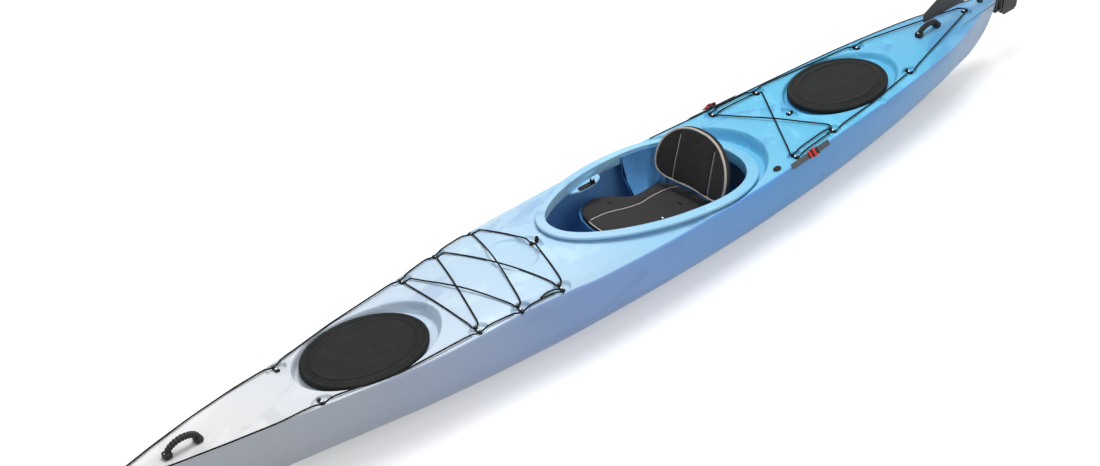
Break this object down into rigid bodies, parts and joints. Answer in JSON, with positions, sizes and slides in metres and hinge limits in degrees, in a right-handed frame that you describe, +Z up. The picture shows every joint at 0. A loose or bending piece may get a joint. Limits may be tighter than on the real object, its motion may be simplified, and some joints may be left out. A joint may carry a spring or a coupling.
{
  "type": "sea kayak",
  "caption": "Long one-seat touring kayak with a keyhole cockpit, padded seat and backrest, oval lids, deck lines, a drop skeg and a stowed rudder.",
  "frame": {"origin": "centre of the flat keel strip, amidships, on the surface the kayak lies on", "axes": "+X to the bow, +Y to port, +Z up"},
  "size_m": [5.205, 0.606, 0.524],
  "materials": {
    "hull_plastic": "glossy, marbled from near white at the bow to sky blue",
    "seat_plastic": "satin",
    "foam": "closed-cell foam",
    "hatch_rubber": "matte",
    "black_plastic": "satin",
    "cord": "braided",
    "cushion_fabric": "woven with a light piping",
    "steel": "satin",
    "grey_plastic": "satin",
    "webbing": "woven",
    "red_plastic": "satin"
  },
  "bodies": {
    "hull": {"hull_deck_shell": "hull_plastic", "front_bulkhead": "foam", "rear_bulkhead": "foam", "deck_fitting_f0_port": "black_plastic", "deck_fitting_f0_starboard": "black_plastic", "deck_fitting_f1_port": "black_plastic", "deck_fitting_f1_starboard": "black_plastic", "deck_fitting_f2_port": "black_plastic", "deck_fitting_f2_starboard": "black_plastic", "deck_fitting_f3_port": "black_plastic", "deck_fitting_f3_starboard": "black_plastic", "deck_fitting_r1_port": "black_plastic", "deck_fitting_r1_starboard": "black_plastic", "deck_fitting_r2_port": "black_plastic", "deck_fitting_r2_starboard": "black_plastic", "deck_fitting_r3_port": "black_plastic", "deck_fitting_r3_starboard": "black_plastic", "bow_eye": "black_plastic", "foredeck_eye": "black_plastic", "stern_eye": "black_plastic", "hatch_eye": "black_plastic", "front_bungee": "cord", "rear_bungee": "cord", "front_deck_line": "cord", "rear_deck_line": "cord", "rudder_lift_line": "cord", "seat_pan": "seat_plastic", "seat_pad": "cushion_fabric", "foot_rail_port": "black_plastic", "gunwale_strap_port": "webbing", "buckle_socket_port": "red_plastic", "buckle_tongue_port": "black_plastic", "foot_rail_starboard": "black_plastic", "gunwale_strap_starboard": "webbing", "buckle_socket_starboard": "red_plastic", "buckle_tongue_starboard": "black_plastic", "skeg_box": "seat_plastic", "skeg_pin": "steel", "skeg_cleat": "black_plastic", "rudder_bracket": "steel", "rudder_pin": "steel", "bow_handle": "black_plastic", "stern_handle": "black_plastic"},
    "front_hatch": {"front_hatch_cover": "hatch_rubber"},
    "rear_hatch": {"rear_hatch_cover": "hatch_rubber"},
    "backrest": {"backrest_shell": "black_plastic", "backrest_pad": "cushion_fabric"},
    "skeg": {"skeg_blade": "black_plastic"},
    "rudder_turning_head": {"rudder_head": "grey_plastic", "rudder_blade_pin": "steel"},
    "rudder_swinging_blade": {"rudder_blade": "grey_plastic"},
    "drain_screw_plug": {"drain_plug": "black_plastic"},
    "pedal_port": {"foot_pedal_port": "black_plastic"},
    "cable_port": {"rudder_cable_port": "steel"},
    "brace_plate_port": {"thigh_brace_plate_port": "black_plastic"},
    "brace_knob_port": {"thigh_brace_knob_port": "black_plastic"},
    "pedal_starboard": {"foot_pedal_starboard": "black_plastic"},
    "cable_starboard": {"rudder_cable_starboard": "steel"},
    "brace_plate_starboard": {"thigh_brace_plate_starboard": "black_plastic"},
    "brace_knob_starboard": {"thigh_brace_knob_starboard": "black_plastic"}
  },
  "joints": [
    {"name": "front_hatch_lift", "type": "slide", "parent": "hull", "child": "front_hatch", "axis": [0, 0, 1], "range_m": [0, 0.15]},
    {"name": "rear_hatch_lift", "type": "slide", "parent": "hull", "child": "rear_hatch", "axis": [0, 0, 1], "range_m": [0, 0.15]},
    {"name": "backrest_fold", "type": "hinge", "parent": "hull", "child": "backrest", "pos_m": [-0.446, 0, 0.214], "axis": [0, 1, 0], "range_deg": [-8, 70]},
    {"name": "skeg_swing", "type": "hinge", "parent": "hull", "child": "skeg", "pos_m": [-1.742, 0, 0.066], "axis": [0, 1, 0], "range_deg": [-35, 11]},
    {"name": "rudder_steer", "type": "hinge", "parent": "hull", "child": "rudder_turning_head", "pos_m": [-2.56, 0, 0.29], "axis": [0, 0, 1], "range_deg": [-35, 35]},
    {"name": "rudder_deploy", "type": "hinge", "parent": "rudder_turning_head", "child": "rudder_swinging_blade", "pos_m": [-2.624, 0, 0.442], "axis": [0, -1, 0], "range_deg": [0, 250]},
    {"name": "drain_plug_turn", "type": "hinge", "parent": "hull", "child": "drain_screw_plug", "pos_m": [-2.388, 0, 0.355], "axis": [0, 0, 1], "continuous": true},
    {"name": "pedal_slide_port", "type": "slide", "parent": "hull", "child": "pedal_port", "axis": [1, 0, 0], "range_m": [-0.033, 0.033]},
    {"name": "cable_slide_port", "type": "slide", "parent": "hull", "child": "cable_port", "axis": [0.9975, 0.0712, 0], "range_m": [-0.033, 0.033]},
    {"name": "brace_slide_port", "type": "slide", "parent": "hull", "child": "brace_plate_port", "axis": [1, 0, 0], "range_m": [-0.015, 0.015]},
    {"name": "brace_knob_turn_port", "type": "hinge", "parent": "brace_plate_port", "child": "brace_knob_port", "pos_m": [-0.03, 0.195, 0.34], "axis": [0, 0, 1], "continuous": true},
    {"name": "pedal_slide_starboard", "type": "slide", "parent": "hull", "child": "pedal_starboard", "axis": [1, 0, 0], "range_m": [-0.033, 0.033]},
    {"name": "cable_slide_starboard", "type": "slide", "parent": "hull", "child": "cable_starboard", "axis": [0.9975, -0.0712, 0], "range_m": [-0.033, 0.033]},
    {"name": "brace_slide_starboard", "type": "slide", "parent": "hull", "child": "brace_plate_starboard", "axis": [1, 0, 0], "range_m": [-0.015, 0.015]},
    {"name": "brace_knob_turn_starboard", "type": "hinge", "parent": "brace_plate_starboard", "child": "brace_knob_starboard", "pos_m": [-0.03, -0.195, 0.34], "axis": [0, 0, 1], "continuous": true}
  ],
  "couplings": [
    {"joint": "pedal_slide_port", "follows": "rudder_steer", "m_per_rad": -0.0526},
    {"joint": "cable_slide_port", "follows": "rudder_steer", "m_per_rad": -0.0526},
    {"joint": "pedal_slide_starboard", "follows": "rudder_steer", "m_per_rad": 0.0526},
    {"joint": "cable_slide_starboard", "follows": "rudder_steer", "m_per_rad": 0.0526}
  ]
}
